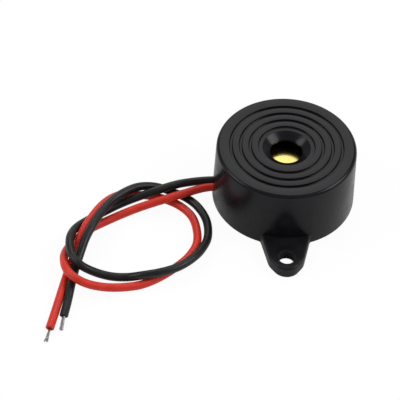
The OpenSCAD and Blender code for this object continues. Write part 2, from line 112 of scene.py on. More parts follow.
class Bench:
    """Modelling steps that several pieces share, done with Blender's own operators."""

    @staticmethod
    def clear() -> None:
        """Leaves edit mode and deselects everything."""
        if bpy.context.object is not None and bpy.context.object.mode != "OBJECT":
            bpy.ops.object.mode_set(mode="OBJECT")
        bpy.ops.object.select_all(action="DESELECT")

    @staticmethod
    def take(piece: bpy.types.Object) -> None:
        """Selects one object alone and makes it active.

        Args:
            piece: The object.
        """
        Bench.clear()
        piece.select_set(True)
        bpy.context.view_layer.objects.active = piece

    @staticmethod
    def start_at(name: str, where: Point) -> bpy.types.Object:
        """Starts a mesh as one selected vertex, in edit mode.

        Args:
            name: Name of the new object.
            where: Place of the vertex.

        Returns:
            The new object.
        """
        Bench.clear()
        bpy.ops.mesh.primitive_plane_add(size=MM, enter_editmode=True, location=(0, 0, 0))
        piece = bpy.context.object
        piece.name = piece.data.name = name
        bpy.ops.mesh.merge(type="CENTER")
        bpy.ops.transform.translate(value=where)
        return piece

    @staticmethod
    def trace(points: Sequence[Point]) -> None:
        """Extrudes the selected vertex along points, of which the first is where it stands.

        Args:
            points: The line to draw.
        """
        for here, there in zip(points, points[1:]):
            step = Vector(there) - Vector(here)
            bpy.ops.mesh.extrude_vertices_move(TRANSFORM_OT_translate={"value": step})

    @staticmethod
    def weld(gap: float = WELD_GAP) -> None:
        """Merges doubled vertices and turns all faces outwards.

        Args:
            gap: Distance under which vertices are merged.
        """
        bpy.ops.mesh.select_all(action="SELECT")
        bpy.ops.mesh.remove_doubles(threshold=gap)
        bpy.ops.mesh.normals_make_consistent(inside=False)

    @staticmethod
    def turned(name: str, section: Sequence[Pair], steps: int) -> bpy.types.Object:
        """Turns a section round the Z axis. It is closed, or starts and ends on the axis.

        Args:
            name: Name of the new object.
            section: Radius and height of each point, in order.
            steps: Number of steps in the full turn.

        Returns:
            The turned object, in object mode.
        """
        line = [(r, 0.0, z) for r, z in section]
        piece = Bench.start_at(name, line[0])
        on_axis = section[0][0] == section[-1][0] == 0
        Bench.trace(line if on_axis else line + [line[0]])
        bpy.ops.mesh.select_all(action="SELECT")
        bpy.ops.mesh.remove_doubles(threshold=WELD_GAP)
        bpy.ops.mesh.spin(steps=steps, angle=math.tau, center=(0, 0, 0), axis=(0, 0, 1))
        Bench.weld()
        Bench.clear()
        return piece

    @staticmethod
    def plate(name: str, outline: Sequence[Point], rise: Point) -> bpy.types.Object:
        """Fills a flat outline and extrudes it.

        Args:
            name: Name of the new object.
            outline: Corners of the closed outline, in order.
            rise: Way and length of the extrusion.

        Returns:
            The new object, in edit mode with its raised face selected.
        """
        piece = Bench.start_at(name, outline[0])
        Bench.trace(list(outline))
        bpy.ops.mesh.select_all(action="SELECT")
        bpy.ops.mesh.edge_face_add()
        bpy.ops.mesh.extrude_region_move(TRANSFORM_OT_translate={"value": rise})
        return piece

    @staticmethod
    def combine(body: bpy.types.Object, other: bpy.types.Object, how: str) -> None:
        """Adds another solid to a body, or cuts it away, and deletes it.

        Args:
            body: The object that stays.
            other: The object that is used up.
            how: UNION or DIFFERENCE.
        """
        Bench.take(body)
        step = body.modifiers.new(how.lower(), "BOOLEAN")
        step.operation = how
        step.solver = "EXACT"
        step.object = other
        bpy.ops.object.modifier_apply(modifier=step.name)
        bpy.data.objects.remove(other, do_unlink=True)

    @staticmethod
    def smooth(piece: bpy.types.Object, degrees: float) -> None:
        """Shades a piece smooth, apart from edges sharper than an angle.

        Args:
            piece: The object to shade.
            degrees: The angle past which an edge stays sharp.
        """
        Bench.take(piece)
        bpy.ops.object.shade_smooth_by_angle(angle=math.radians(degrees))


@dataclass(frozen=True)
class Corner:
    """A corner of a section, with the radius that rounds it."""

    r: float
    z: float
    fillet: float = 0.0
    steps: int = 4


def rounded(corners: Sequence[Corner]) -> list[Pair]:
    """Rounds the corners of a closed section.

    Args:
        corners: The corners in order.

    Returns:
        The points of the rounded section.
    """
    points: list[Pair] = []
    for index, corner in enumerate(corners):
        here = Vector((corner.r, corner.z))
        last, after = corners[index - 1], corners[(index + 1) % len(corners)]
        back = (Vector((last.r, last.z)) - here).normalized()
        ahead = (Vector((after.r, after.z)) - here).normalized()
        if corner.fillet <= 0:
            points.append((here.x, here.y))
            continue
        half = back.angle(ahead) / 2
        centre = here + (back + ahead).normalized() * corner.fillet / math.sin(half)
        start = here + back * corner.fillet / math.tan(half) - centre
        turn = (here + ahead * corner.fillet / math.tan(half) - centre).angle_signed(start)
        for step in range(corner.steps + 1):
            arm = start.copy()
            arm.rotate(Matrix.Rotation(turn * step / corner.steps, 2))
            points.append((centre.x + arm.x, centre.y + arm.y))
    return points


# ---------------------------------------------------------------- finishes


class Nodes:
    """A material's node tree with short calls for adding and joining nodes."""

    def __init__(self, tree: bpy.types.NodeTree) -> None:
        """Keeps the tree.

        Args:
            tree: The tree that nodes are added to.
        """
        self.tree = tree

    def add(self, kind: str, **sockets: object) -> bpy.types.Node:
        """Adds a node and fills its inputs.

        Args:
            kind: The node's type, without the ShaderNode prefix.
            sockets: Input names, with _ for a space, and their values or source sockets.

        Returns:
            The new node.
        """
        node = self.tree.nodes.new("ShaderNode" + kind)
        self.fill(node, **sockets)
        return node

    def fill(self, node: bpy.types.Node, **sockets: object) -> None:
        """Fills inputs of a node.

        Args:
            node: The node.
            sockets: Input names, with _ for a space, and their values or source sockets.
        """
        for name, value in sockets.items():
            self.put(node.inputs[name.replace("_", " ")], value)

    def put(self, socket: bpy.types.NodeSocket, value: object) -> None:
        """Fills one input.

        Args:
            socket: The input.
            value: Its value, or the socket that feeds it.
        """
        if isinstance(value, bpy.types.NodeSocket):
            self.tree.links.new(value, socket)
        else:
            socket.default_value = value

    def maths(self, how: str, first: object, second: object = 0.0) -> bpy.types.NodeSocket:
        """Adds a Math node.

        Args:
            how: The operation.
            first: First value or socket.
            second: Second value or socket.

        Returns:
            The result socket.
        """
        node = self.tree.nodes.new("ShaderNodeMath")
        node.operation = how
        for socket, value in zip(node.inputs, (first, second)):
            self.put(socket, value)
        return node.outputs[0]

    def blend(self, factor: object, low: object, high: object) -> bpy.types.NodeSocket:
        """Mixes two colours.

        Args:
            factor: Share of the second colour.
            low: First colour or socket.
            high: Second colour or socket.

        Returns:
            The mixed colour's socket.
        """
        node = self.tree.nodes.new("ShaderNodeMix")
        node.data_type = "RGBA"
        factor_in, low_in, high_in, mixed_out = 0, 6, 7, 2
        for index, value in ((factor_in, factor), (low_in, low), (high_in, high)):
            self.put(node.inputs[index], value)
        return node.outputs[mixed_out]

    def spread(self, value: object, low: float, high: float) -> bpy.types.NodeSocket:
        """Maps a mask from 0 and 1 to two values.

        Args:
            value: The mask's socket.
            low: Result where the mask is 0.
            high: Result where the mask is 1.

        Returns:
            The mapped value's socket.
        """
        node = self.add("MapRange", Value=value, To_Min=low, To_Max=high)
        return node.outputs["Result"]


class Effects:
    """Node groups that several finishes use, each built once."""

    grain_size: Pair = (9000.0, 420.0)
    grain_shares: Pair = (0.45, 0.55)
    mark_range: Pair = (0.35, 0.68)
    streak_size: Pair = (2600.0, 260.0)
    streak_stretch: Point = (0.04, 1, 1)
    made: dict[str, bpy.types.NodeTree] = {}

    @classmethod
    def group(
        cls, name: str, inputs: dict[str, float], outputs: Sequence[str]
    ) -> tuple[bpy.types.NodeTree, Nodes]:
        """Starts a node group with float inputs, a vector input and float outputs.

        Args:
            name: Name of the group.
            inputs: Names of the float inputs with their default values.
            outputs: Names of the float outputs.

        Returns:
            The group's tree and the helper that adds nodes to it.
        """
        tree = bpy.data.node_groups.new(name, "ShaderNodeTree")
        tree.interface.new_socket("Vector", in_out="INPUT", socket_type="NodeSocketVector")
        for label, value in inputs.items():
            socket = tree.interface.new_socket(
                label, in_out="INPUT", socket_type="NodeSocketFloat"
            )
            socket.default_value = value
        for label in outputs:
            tree.interface.new_socket(label, in_out="OUTPUT", socket_type="NodeSocketFloat")
        cls.made[name] = tree
        return tree, Nodes(tree)

    @classmethod
    def grain(cls) -> bpy.types.NodeTree:
        """A moulded surface: fine spark grain, shallow waves and faint handling marks.

        Returns:
            The node group, with the outputs Height and Marks.
        """
        if "surface_grain" in cls.made:
            return cls.made["surface_grain"]
        inputs = dict(zip(("Grain", "Wave"), cls.grain_size))
        tree, nodes = cls.group("surface_grain", inputs, ("Height", "Marks"))
        inside = tree.nodes.new("NodeGroupInput")
        out = tree.nodes.new("NodeGroupOutput")
        where = inside.outputs["Vector"]
        fine = nodes.add("TexNoise", Vector=where, Scale=inside.outputs["Grain"], Detail=2.0)
        slow = nodes.add("TexNoise", Vector=where, Scale=inside.outputs["Wave"], Detail=3.0)
        fine_share, slow_share = cls.grain_shares
        height = nodes.maths("MULTIPLY", fine.outputs["Fac"], fine_share)
        waves = nodes.maths("MULTIPLY", slow.outputs["Fac"], slow_share)
        height = nodes.maths("ADD", height, waves)
        low, high = cls.mark_range
        marks = nodes.add(
            "MapRange", Value=slow.outputs["Fac"], From_Min=low, From_Max=high
        ).outputs["Result"]
        tree.links.new(height, out.inputs["Height"])
        tree.links.new(marks, out.inputs["Marks"])
        return tree

    @classmethod
    def streaks(cls) -> bpy.types.NodeTree:
        """Rolled or drawn metal: long fine lines along X and slow cloudy tarnish.

        Returns:
            The node group, with the outputs Height and Cloud.
        """
        if "metal_streaks" in cls.made:
            return cls.made["metal_streaks"]
        inputs = dict(zip(("Fine", "Cloud"), cls.streak_size))
        tree, nodes = cls.group("metal_streaks", inputs, ("Height", "Cloud"))
        inside = tree.nodes.new("NodeGroupInput")
        out = tree.nodes.new("NodeGroupOutput")
        stretched = nodes.add(
            "Mapping", Vector=inside.outputs["Vector"], Scale=cls.streak_stretch
        )
        line = nodes.add(
            "TexNoise", Vector=stretched.outputs[0], Scale=inside.outputs["Fine"], Detail=4.0
        )
        cloud = nodes.add(
            "TexNoise",
            Vector=inside.outputs["Vector"],
            Scale=inside.outputs["Cloud"],
            Detail=5.0,
        )
        tree.links.new(line.outputs["Fac"], out.inputs["Height"])
        tree.links.new(cloud.outputs["Fac"], out.inputs["Cloud"])
        return tree


class Effect(Enum):
    """The surface effects that a finish can have."""

    GRAIN = "grain"
    STREAKS = "streaks"


FINISHED: dict[str, bpy.types.Material] = {}


@dataclass(frozen=True)
class Finish:
    """A finish: a Principled shader whose colour, roughness and relief vary by an effect."""

    name: str
    colour: Point
    worn: Point
    rough: Pair
    effect: Effect = Effect.GRAIN
    size: Pair = Effects.grain_size
    relief: float = 0.02 * MM
    relief_strength: float = 0.6
    metallic: float = 0.0
    specular: float = 0.5
    coat: float = 0.0
    coat_rough: float = 0.1

    def build(self) -> bpy.types.Material:
        """Builds the finish as a material.

        Returns:
            The material, which is built once.
        """
        if self.name in FINISHED:
            return FINISHED[self.name]
        material = FINISHED[self.name] = bpy.data.materials.new(self.name)
        material.use_nodes = True
        material.node_tree.nodes.clear()
        nodes = Nodes(material.node_tree)
        effect = material.node_tree.nodes.new("ShaderNodeGroup")
        effect.node_tree = getattr(Effects, self.effect.value)()
        place = nodes.add("TexCoord")
        nodes.fill(effect, Vector=place.outputs["Object"])
        effect.inputs[1].default_value, effect.inputs[2].default_value = self.size
        height, mask = effect.outputs[0], effect.outputs[1]
        bump = nodes.add(
            "Bump", Height=height, Distance=self.relief, Strength=self.relief_strength
        )
        shader = nodes.add(
            "BsdfPrincipled",
            Base_Color=nodes.blend(mask, (*self.colour, 1), (*self.worn, 1)),
            Roughness=nodes.spread(mask, *self.rough),
            Normal=bump.outputs["Normal"],
            Metallic=self.metallic,
            Specular_IOR_Level=self.specular,
            Coat_Weight=self.coat,
            Coat_Roughness=self.coat_rough,
        )
        out = nodes.add("OutputMaterial")
        material.node_tree.links.new(shader.outputs[0], out.inputs["Surface"])
        return material


CASE_BLACK = Finish(
    "gloss_moulded_black",
    (0.0065, 0.006, 0.008),
    (0.0095, 0.009, 0.011),
    (0.16, 0.24),
    size=(6000.0, 300.0),
    relief=0.002 * MM,
    specular=0.19,
)
WALL_BLACK = replace(CASE_BLACK, name="moulded_wall_black", rough=(0.22, 0.32), specular=0.15)
EAR_BLACK = replace(CASE_BLACK, name="satin_ear_black", rough=(0.34, 0.42), specular=0.22)
# Painted light and shade: the ear holes' walls are the case's own plastic, but their colour is
# about four times lighter and their reflection is turned almost off, in place of the shaded
# floor they would mirror.
BORE_PAINTED_LIGHT = replace(
    CASE_BLACK,
    name="dull_bore_painted_light",
    colour=(0.028, 0.027, 0.029),
    worn=(0.033, 0.032, 0.034),
    rough=(0.75, 0.85),
    specular=0.05,
)
RESIN = Finish(
    "cast_resin",
    (0.008, 0.008, 0.009),
    (0.013, 0.012, 0.012),
    (0.12, 0.3),
    size=(1500.0, 160.0),
    relief=0.08 * MM,
)
PVC_RED = Finish(
    "red_vinyl",
    (0.62, 0.026, 0.013),
    (0.69, 0.033, 0.017),
    (0.34, 0.44),
    size=(5000.0, 500.0),
    relief=0.003 * MM,
    specular=0.36,
)
PVC_BLACK = Finish(
    "black_vinyl",
    (0.0085, 0.008, 0.0085),
    (0.0125, 0.012, 0.0125),
    (0.34, 0.46),
    size=(5000.0, 500.0),
    relief=0.003 * MM,
    specular=0.34,
)
# Painted light: the red lead's hollow cut end lies in shade, so it gets a lighter, more orange
# red than the vinyl itself, which lifts that shade.
RED_HOLLOW_PAINTED_LIGHT = replace(
    PVC_RED,
    name="red_vinyl_hollow_painted_light",
    colour=(0.6, 0.05, 0.02),
    worn=(0.66, 0.06, 0.025),
    rough=(0.5, 0.6),
    specular=0.2,
)
PVC_BLUE = Finish(
    "blue_vinyl", (0.02, 0.06, 0.42), (0.03, 0.08, 0.48), (0.3, 0.42), size=(5000.0, 500.0)
)
BRASS = Finish(
    "rolled_brass",
    (0.72, 0.59, 0.2),
    (0.56, 0.43, 0.12),
    (0.13, 0.25),
    Effect.STREAKS,
    Effects.streak_size,
    relief=0.002 * MM,
    metallic=1.0,
)
SILVER = Finish(
    "fired_silver",
    (0.78, 0.77, 0.73),
    (0.62, 0.6, 0.55),
    (0.32, 0.5),
    size=(7000.0, 300.0),
    relief=0.01 * MM,
    metallic=1.0,
)
TINNED = Finish(
    "tinned_strands",
    (0.5, 0.49, 0.48),
    (0.36, 0.355, 0.35),
    (0.26, 0.44),
    size=(4200.0, 1400.0),
    relief=0.006 * MM,
    metallic=1.0,
)
SOLDER = Finish(
    "soft_solder",
    (0.68, 0.68, 0.69),
    (0.5, 0.5, 0.5),
    (0.16, 0.34),
    size=(2500.0, 700.0),
    metallic=1.0,
)
COPPER = Finish(
    "copper_foil",
    (0.78, 0.36, 0.2),
    (0.55, 0.24, 0.12),
    (0.25, 0.42),
    Effect.STREAKS,
    relief=0.004 * MM,
    metallic=1.0,
)
ENAMEL = Finish(
    "enamel_on_copper",
    (0.55, 0.2, 0.07),
    (0.42, 0.13, 0.04),
    (0.18, 0.3),
    Effect.STREAKS,
    (5200.0, 500.0),
    relief=0.03 * MM,
    metallic=1.0,
    coat=0.6,
)
CERAMIC = Finish("piezo_ceramic", (0.56, 0.5, 0.38), (0.48, 0.42, 0.3), (0.5, 0.65))
SILICONE = Finish(
    "silicone_bead", (0.72, 0.72, 0.7), (0.8, 0.8, 0.78), (0.28, 0.4), size=(1200.0, 300.0)
)
LAMINATE = Finish("paper_laminate", (0.42, 0.25, 0.09), (0.5, 0.31, 0.12), (0.42, 0.6))
EPOXY = Finish("moulded_epoxy", (0.014, 0.014, 0.015), (0.022, 0.022, 0.022), (0.42, 0.58))
LACQUER = Finish(
    "lacquer_blue", (0.12, 0.32, 0.5), (0.16, 0.38, 0.55), (0.22, 0.34), coat=0.4
)
GLASS = Finish(
    "tinted_glass", (0.6, 0.16, 0.04), (0.5, 0.11, 0.03), (0.06, 0.14), coat=0.8, coat_rough=0.03
)
SLEEVE = Finish(
    "shrunk_sleeve", (0.02, 0.04, 0.16), (0.03, 0.05, 0.19), (0.2, 0.32), coat=0.3
)
FERRITE = Finish("sintered_ferrite", (0.05, 0.05, 0.055), (0.08, 0.08, 0.085), (0.45, 0.62))

FRAME_FINISHES = {
    "potting": RESIN,
    "brass_plate": BRASS,
    "ceramic_disc": CERAMIC,
    "drive_electrode": SILVER,
    "feedback_electrode": SILVER,
    "disc_glue": SILICONE,
    "disc_solder": SOLDER,
    "circuit_board": LAMINATE,
    "board_pads": COPPER,
    "board_solder": SOLDER,
    "transistor": EPOXY,
    "transistor_legs": TINNED,
    "resistors": LACQUER,
    "resistor_legs": TINNED,
    "diode": GLASS,
    "diode_legs": TINNED,
    "capacitor": SLEEVE,
    "capacitor_legs": TINNED,
    "choke_core": FERRITE,
    "choke_winding": ENAMEL,
    "choke_legs": TINNED,
    "ground_jumper": PVC_BLACK,
    "drive_jumper": PVC_RED,
    "feedback_jumper": PVC_BLUE,
    "red_core": TINNED,
    "black_core": TINNED,
}


def dress(piece: bpy.types.Object, finish: Finish) -> None:
    """Gives a piece one finish all over.

    Args:
        piece: The object to dress.
        finish: Its finish.
    """
    piece.data.materials.clear()
    piece.data.materials.append(finish.build())


# ---------------------------------------------------------------- case


@dataclass
class Ear:
    """A screw ear on the side of the case, first modelled at -Y."""

    thick: float = 2.5 * MM
    hole_y: float = 20.85 * MM
    hole_r: float = 1.75 * MM
    tip_r: float = 2.95 * MM
    tip_reach: float = 3.4 * MM
    shoulder_r: float = 3.95 * MM
    shoulder_in: float = 1.2 * MM
    root_r: float = 5.1 * MM
    root_y: float = 14.6 * MM
    root_fillet: float = 1.0 * MM
    edge_r: float = 0.5 * MM
    edge_steps: int = 7
    hole_chamfer: float = 0.1 * MM
    fillet_steps: int = 8
    sink: float = 0.12 * MM
    hidden_x: float = 7.6 * MM
    hidden_y: float = 10.0 * MM
    inner_r: float = 14.7 * MM
    arc_step: float = math.radians(5)
    hole_steps: int = 72
    inner_steps: int = 144
    overshoot: float = 1.0 * MM

    def half_outline(self, wall_r: float) -> list[Pair]:
        """Works out one side of the outline, from inside the case to the tip.

        Args:
            wall_r: Radius of the case at its base.

        Returns:
            Points as distance from the middle line and distance along +Y.
        """
        circles = [
            (self.root_y, self.root_r),
            (self.hole_y - self.shoulder_in, self.shoulder_r),
            (self.hole_y + self.tip_reach - self.tip_r, self.tip_r),
        ]
        leans = [
            math.asin((a[1] - b[1]) / (b[0] - a[0])) for a, b in zip(circles, circles[1:])
        ]
        bed_r = wall_r - self.sink
        out = Vector((math.cos(leans[0]), math.sin(leans[0])))
        along = Vector((-out.y, out.x))
        reach = out.dot(Vector((0, circles[0][0]))) + circles[0][1] + self.root_fillet
        slide = math.sqrt((bed_r + self.root_fillet) ** 2 - reach**2)
        middle = out * reach + along * slide
        points = [
            (self.hidden_x, self.hidden_y),
            (self.hidden_x, math.sqrt(bed_r**2 - self.hidden_x**2)),
        ]
        first = math.atan2(-middle.y, -middle.x)
        last = math.atan2(-out.y, -out.x)
        bend = (last - first + math.pi) % math.tau - math.pi
        for step in range(self.fillet_steps + 1):
            turn = first + bend * step / self.fillet_steps
            arm = Vector((math.cos(turn), math.sin(turn))) * self.root_fillet
            points.append(tuple(middle + arm))
        for circle, start, end in zip(circles[1:], leans, leans[1:] + [math.pi / 2]):
            count = max(2, round((end - start) / self.arc_step))
            for step in range(count + 1):
                turn = start + (end - start) * step / count
                points.append(
                    (circle[1] * math.cos(turn), circle[0] + circle[1] * math.sin(turn))
                )
        return points

    def build(self, wall_r: float) -> bpy.types.Object:
        """Models the ear with its rounded upper edge and its hole.

        Args:
            wall_r: Radius of the case at its base.

        Returns:
            The ear, in object mode.
        """
        side = self.half_outline(wall_r)
        loop = side[:-1] + [(-x, y) for x, y in reversed(side)]
        outline = [(x, -y, 0.0) for x, y in loop]
        ear = Bench.plate("ear", outline, (0, 0, self.thick - self.edge_r))
        for step in range(self.edge_steps):
            now, after = (
                math.pi / 2 * (step + more) / self.edge_steps for more in (0, 1)
            )
            inward = self.edge_r * (math.cos(now) - math.cos(after))
            upward = self.edge_r * (math.sin(after) - math.sin(now))
            bpy.ops.mesh.inset(thickness=inward, depth=upward, use_even_offset=True)
        Bench.weld(FINE_WELD_GAP)
        Bench.clear()
        low, high, flare = -self.overshoot, self.thick + self.overshoot, self.hole_chamfer
        wide = self.hole_r + flare
        section = [
            (0, low),
            (wide, low),
            (wide, 0),
            (self.hole_r, flare),
            (self.hole_r, self.thick - flare),
            (wide, self.thick),
            (wide, high),
            (0, high),
        ]
        drill = Bench.turned("drill", section, self.hole_steps)
        drill.data.transform(Matrix.Translation((0, -self.hole_y, 0)))
        Bench.combine(ear, drill, "DIFFERENCE")
        inner = [(0, low), (self.inner_r, low), (self.inner_r, high), (0, high)]
        bore = Bench.turned("bore", inner, self.inner_steps)
        Bench.combine(ear, bore, "DIFFERENCE")
        return ear


@dataclass
class Case:
    """The moulded case: a turned cup with ring grooves, a funnel port and two ears."""

    rim_fillet: float = 0.85 * MM
    draft: float = 0.43 * MM
    roof: float = 2.0 * MM
    chamber: float = 1.85 * MM
    chamber_r: float = 12.25 * MM
    seat_r: float = 13.65 * MM
    well_r: float = 14.1 * MM
    port_r: float = 3.45 * MM
    funnel_r: float = 5.15 * MM
    funnel_h: float = 1.1 * MM
    mouth_w: float = 0.95 * MM
    mouth_depth: float = 0.45 * MM
    grooves: int = 3
    pitch: float = 2.05 * MM
    groove: float = 0.7 * MM
    groove_depth: float = 0.45 * MM
    groove_draft: float = 0.05 * MM
    crisp: float = 0.07 * MM
    soft: float = 0.14 * MM
    steps: int = 216
    rim_steps: int = 14
    groove_steps: int = 3
    sharp_angle: float = 32
    lead_d: float = 1.8 * MM
    lead_gap: float = 0.05 * MM
    lead_pitch: float = 2.0 * MM
    lead_z: float = 2.5 * MM
    opening_steps: int = 16
    opening_inside: float = 0.3 * MM
    opening_outside: float = 1.0 * MM
    wall_margin: float = 0.05 * MM
    bore_upright: float = 0.1
    wall_upright: float = 0.92
    ear: Ear = field(default_factory=Ear)

    def section(self) -> list[Pair]:
        """Works out the section of the turned cup.

        Returns:
            The points of the closed section.
        """
        low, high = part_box("housing")
        base_r, top = high[0], high[2]
        step_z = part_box("circuit_board")[1][2]
        roof_z = top - self.roof
        ledge_z = roof_z - self.chamber
        floor = top - self.groove_depth
        mouth_r, mouth_z = self.funnel_r + self.mouth_w, top - self.mouth_depth
        few = self.groove_steps
        corners = [
            Corner(self.well_r, low[2], self.crisp),
            Corner(base_r, low[2], self.soft),
            Corner(base_r - self.draft, top, self.rim_fillet, self.rim_steps),
        ]
        for ring in range(self.grooves, 0, -1):
            outer = mouth_r + ring * self.pitch
            inner = outer - self.groove
            corners += [
                Corner(outer, top, self.crisp, few),
                Corner(outer - self.groove_draft, floor, self.soft, few),
                Corner(inner + self.groove_draft, floor, self.soft, few),
                Corner(inner, top, self.crisp, few),
            ]
        corners += [
            Corner(mouth_r, top, self.crisp, few),
            Corner(mouth_r - self.groove_draft, mouth_z, self.soft, few),
            Corner(self.funnel_r, mouth_z, self.soft, few),
            Corner(self.port_r, mouth_z - self.funnel_h, self.soft),
            Corner(self.port_r, roof_z, self.soft),
            Corner(self.chamber_r, roof_z, self.soft),
            Corner(self.chamber_r, ledge_z, self.crisp),
            Corner(self.seat_r, ledge_z, self.crisp),
            Corner(self.seat_r, step_z, self.crisp),
            Corner(self.well_r, step_z, self.crisp),
        ]
        return rounded(corners)

    def lead_opening(self, base_r: float) -> bpy.types.Object:
        """Models the tool that cuts the opening for the leads.

        Args:
            base_r: Radius of the case at its base.

        Returns:
            The cutting tool.
        """
        r = self.lead_d / 2 + self.lead_gap
        outline = []
        for side in (1, -1):
            for step in range(self.opening_steps + 1):
                turn = side * math.pi / 2 - math.pi * step / self.opening_steps
                y = side * self.lead_pitch / 2 + side * r * abs(math.cos(turn))
                z = self.lead_z + r * math.sin(turn)
                outline.append((-base_r - self.opening_outside, y, z))
        deep = base_r + self.opening_outside - self.well_r + self.opening_inside
        tool = Bench.plate("tool", outline, (deep, 0, 0))
        Bench.weld()
        Bench.clear()
        return tool

    def dress_sides(self, case: bpy.types.Object, base_r: float) -> None:
        """Gives the outer wall, the ears and their bores finishes of their own; the bores'
        finish is painted light and shade.

        Args:
            case: The case, dressed in its main finish.
            base_r: Radius of the case at its base.
        """
        for finish in (WALL_BLACK, BORE_PAINTED_LIGHT, EAR_BLACK):
            case.data.materials.append(finish.build())
        on_wall, in_bore_painted_light, on_ear = 1, 2, 3
        wall = base_r - self.draft - self.wall_margin
        bore = self.ear.hole_r + self.ear.hole_chamfer
        for face in case.data.polygons:
            x, y, _ = face.center
            upright = 1 - abs(face.normal.z)
            away = math.hypot(x, y)
            from_hole = math.hypot(x, abs(y) - self.ear.hole_y)
            # Bore walls take the painted light and shade finish.
            if upright > self.bore_upright and from_hole < bore:
                face.material_index = in_bore_painted_light
            elif away > base_r:
                face.material_index = on_ear
            elif upright > self.wall_upright and away > wall:
                face.material_index = on_wall

    def build(self) -> None:
        """Models the case and dresses it."""
        base_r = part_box("housing")[1][0]
        case = Bench.turned("case", self.section(), self.steps)
        near = self.ear.build(base_r)
        far = near.copy()
        far.data = near.data.copy()
        bpy.context.collection.objects.link(far)
        far.data.transform(Matrix.Rotation(math.pi, 4, "Z"))
        for ear in (near, far):
            Bench.combine(case, ear, "UNION")
        Bench.combine(case, self.lead_opening(base_r), "DIFFERENCE")
        Bench.smooth(case, self.sharp_angle)
        dress(case, CASE_BLACK)
        self.dress_sides(case, base_r)
        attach(case, ROOT)
        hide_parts("housing")
        LOG.info("case: %d faces", len(case.data.polygons))


# ---------------------------------------------------------------- leads


@dataclass(frozen=True)
class BareEnd:
    """The stripped end of a lead: the slant of its cut and the bunch of its strands."""

    slant: float
    droop: float
    sag: float
    lean: float
    root_r: float
    end_r: float
    fork: float
    reach: float = 3.1 * MM
    strand_d: float = 0.18 * MM
    strands: int = 6
    lay: float = 9.0 * MM
    steps: int = 12
    shortest: float = 0.93
    unevenness: float = 0.07
    seed: int = 5

    def lines(self, end: Vector, way: Vector, start: float) -> list[list[Point]]:
        """Runs the strands, one in the middle and the rest twisted round it.

        Args:
            end: Middle of the insulation's cut end.
            way: Direction in which the insulation ends.
            start: How far inside the insulation the strands start.

        Returns:
            Points along each strand.
        """
        up = Vector((0, 0, 1))
        side = way.cross(up).normalized()
        draw = random.Random(self.seed)
        found = []
        for strand in range(self.strands + 1):
            share = self.shortest + self.unevenness * draw.random()
            length = start + self.reach * share
            line = []
            for step in range(self.steps + 1):
                along = length * step / self.steps
                t = along / (start + self.reach)
                middle = end + way * (along - start) + side * self.lean * t
                middle -= up * (self.droop + self.sag * t)
                ring = self.root_r + (self.end_r - self.root_r) * t
                turn = math.tau * (strand / self.strands + along / self.lay)
                away = side * math.cos(turn) * (1 + self.fork * t**3)
                away += up * math.sin(turn) * (1 - self.fork * t)
                line.append(tuple(middle + away * (ring if strand < self.strands else 0)))
            found.append(line)
        return found


